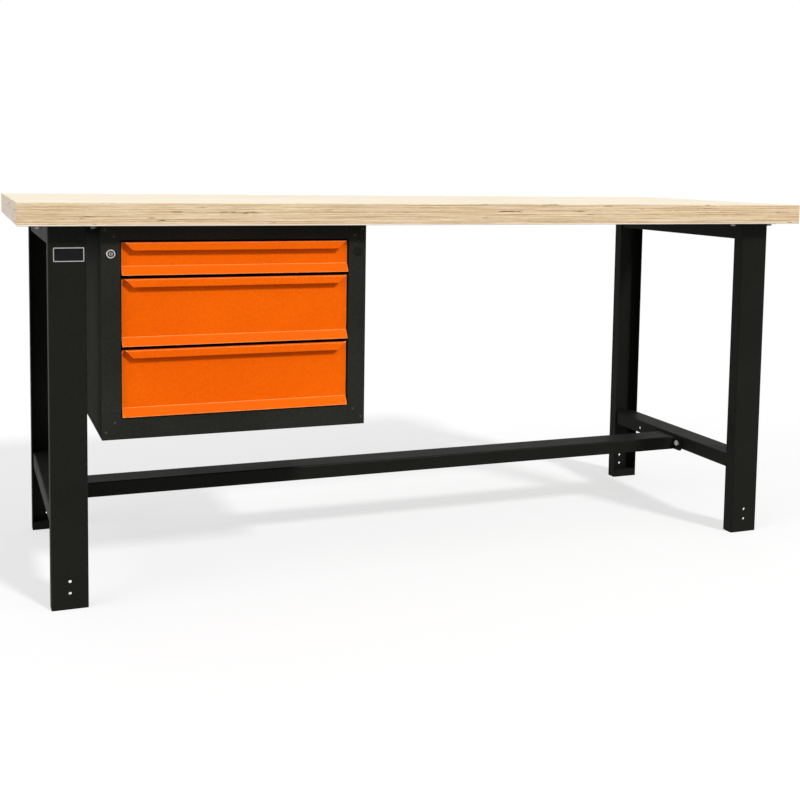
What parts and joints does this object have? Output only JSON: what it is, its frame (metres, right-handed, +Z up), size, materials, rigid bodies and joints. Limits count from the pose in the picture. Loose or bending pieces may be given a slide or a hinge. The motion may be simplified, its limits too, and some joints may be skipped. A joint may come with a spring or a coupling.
{
  "type": "workbench",
  "caption": "Workbench with a thick plywood top on folded steel legs tied by stretchers, and a hung steel cabinet of drawers with lip grips and a central lock.",
  "frame": {"origin": "on the floor, under the middle of the top", "axes": "+X to the right along the bench as its user faces it, +Y to the back, +Z up"},
  "size_m": [2, 0.75, 0.9],
  "materials": {
    "plywood": "clear-lacquered plywood with its plies showing at the edges",
    "frame_paint": "fine-textured graphite powder coat on folded steel",
    "cabinet_paint": "fine-textured graphite powder coat on sheet steel",
    "front_paint": "semi-matt orange powder coat",
    "box_paint": "grey powder coat on sheet steel",
    "zinc_steel": "bright zinc plating",
    "lock_metal": "nickel-plated die casting",
    "black_plastic": "moulded black plastic"
  },
  "bodies": {
    "bench": {"worktop": "plywood", "front_left_leg": "frame_paint", "rear_left_leg": "frame_paint", "front_right_leg": "frame_paint", "rear_right_leg": "frame_paint", "foot_plates": "frame_paint", "leg_top_plates": "frame_paint", "left_top_rail": "frame_paint", "right_top_rail": "frame_paint", "left_side_stretcher": "frame_paint", "right_side_stretcher": "frame_paint", "long_stretcher": "frame_paint", "left_stretcher_end_plate": "frame_paint", "right_stretcher_end_plate": "frame_paint", "stretcher_bolts": "zinc_steel", "stretcher_nuts": "zinc_steel", "cabinet_left_side": "cabinet_paint", "cabinet_right_side": "cabinet_paint", "cabinet_back": "cabinet_paint", "cabinet_bottom": "cabinet_paint", "cabinet_top": "cabinet_paint", "cabinet_left_post": "cabinet_paint", "cabinet_right_post": "cabinet_paint", "cabinet_left_rear_post": "cabinet_paint", "cabinet_right_rear_post": "cabinet_paint", "cabinet_bottom_band": "cabinet_paint", "cabinet_top_band": "cabinet_paint", "lock_barrel": "lock_metal", "post_plug": "black_plastic", "locking_bar_guides": "black_plastic", "upper_drawer_fixed_runners": "zinc_steel", "middle_drawer_fixed_runners": "zinc_steel", "lower_drawer_fixed_runners": "zinc_steel"},
    "upper_drawer": {"upper_drawer_front": "front_paint", "upper_drawer_box": "box_paint", "upper_drawer_catch": "zinc_steel", "upper_drawer_inner_runners": "zinc_steel"},
    "upper_drawer_middle_runners": {"upper_drawer_middle_runners": "zinc_steel"},
    "middle_drawer": {"middle_drawer_front": "front_paint", "middle_drawer_box": "box_paint", "middle_drawer_catch": "zinc_steel", "middle_drawer_inner_runners": "zinc_steel"},
    "middle_drawer_middle_runners": {"middle_drawer_middle_runners": "zinc_steel"},
    "lower_drawer": {"lower_drawer_front": "front_paint", "lower_drawer_box": "box_paint", "lower_drawer_catch": "zinc_steel", "lower_drawer_inner_runners": "zinc_steel"},
    "lower_drawer_middle_runners": {"lower_drawer_middle_runners": "zinc_steel"},
    "lock": {"lock_core": "lock_metal", "lock_cam": "zinc_steel"},
    "locking_bar": {"locking_bar": "zinc_steel", "locking_hooks": "zinc_steel"}
  },
  "joints": [
    {"name": "upper_drawer_slide", "type": "slide", "parent": "bench", "child": "upper_drawer", "axis": [0, -1, 0], "range_m": [0, 0.48]},
    {"name": "upper_drawer_runner_slide", "type": "slide", "parent": "bench", "child": "upper_drawer_middle_runners", "axis": [0, -1, 0], "range_m": [0, 0.24]},
    {"name": "middle_drawer_slide", "type": "slide", "parent": "bench", "child": "middle_drawer", "axis": [0, -1, 0], "range_m": [0, 0.48]},
    {"name": "middle_drawer_runner_slide", "type": "slide", "parent": "bench", "child": "middle_drawer_middle_runners", "axis": [0, -1, 0], "range_m": [0, 0.24]},
    {"name": "lower_drawer_slide", "type": "slide", "parent": "bench", "child": "lower_drawer", "axis": [0, -1, 0], "range_m": [0, 0.48]},
    {"name": "lower_drawer_runner_slide", "type": "slide", "parent": "bench", "child": "lower_drawer_middle_runners", "axis": [0, -1, 0], "range_m": [0, 0.24]},
    {"name": "lock_turn", "type": "hinge", "parent": "bench", "child": "lock", "pos_m": [-0.803, -0.327, 0.787], "axis": [0, -1, 0], "range_deg": [0, 90]},
    {"name": "locking_bar_slide", "type": "slide", "parent": "bench", "child": "locking_bar", "axis": [0, 0, -1], "range_m": [0, 0.01]}
  ],
  "couplings": [
    {"joint": "upper_drawer_runner_slide", "follows": "upper_drawer_slide", "ratio": 0.5},
    {"joint": "middle_drawer_runner_slide", "follows": "middle_drawer_slide", "ratio": 0.5},
    {"joint": "lower_drawer_runner_slide", "follows": "lower_drawer_slide", "ratio": 0.5},
    {"joint": "lock_turn", "follows": "locking_bar_slide", "rad_per_m": 157.08}
  ]
}
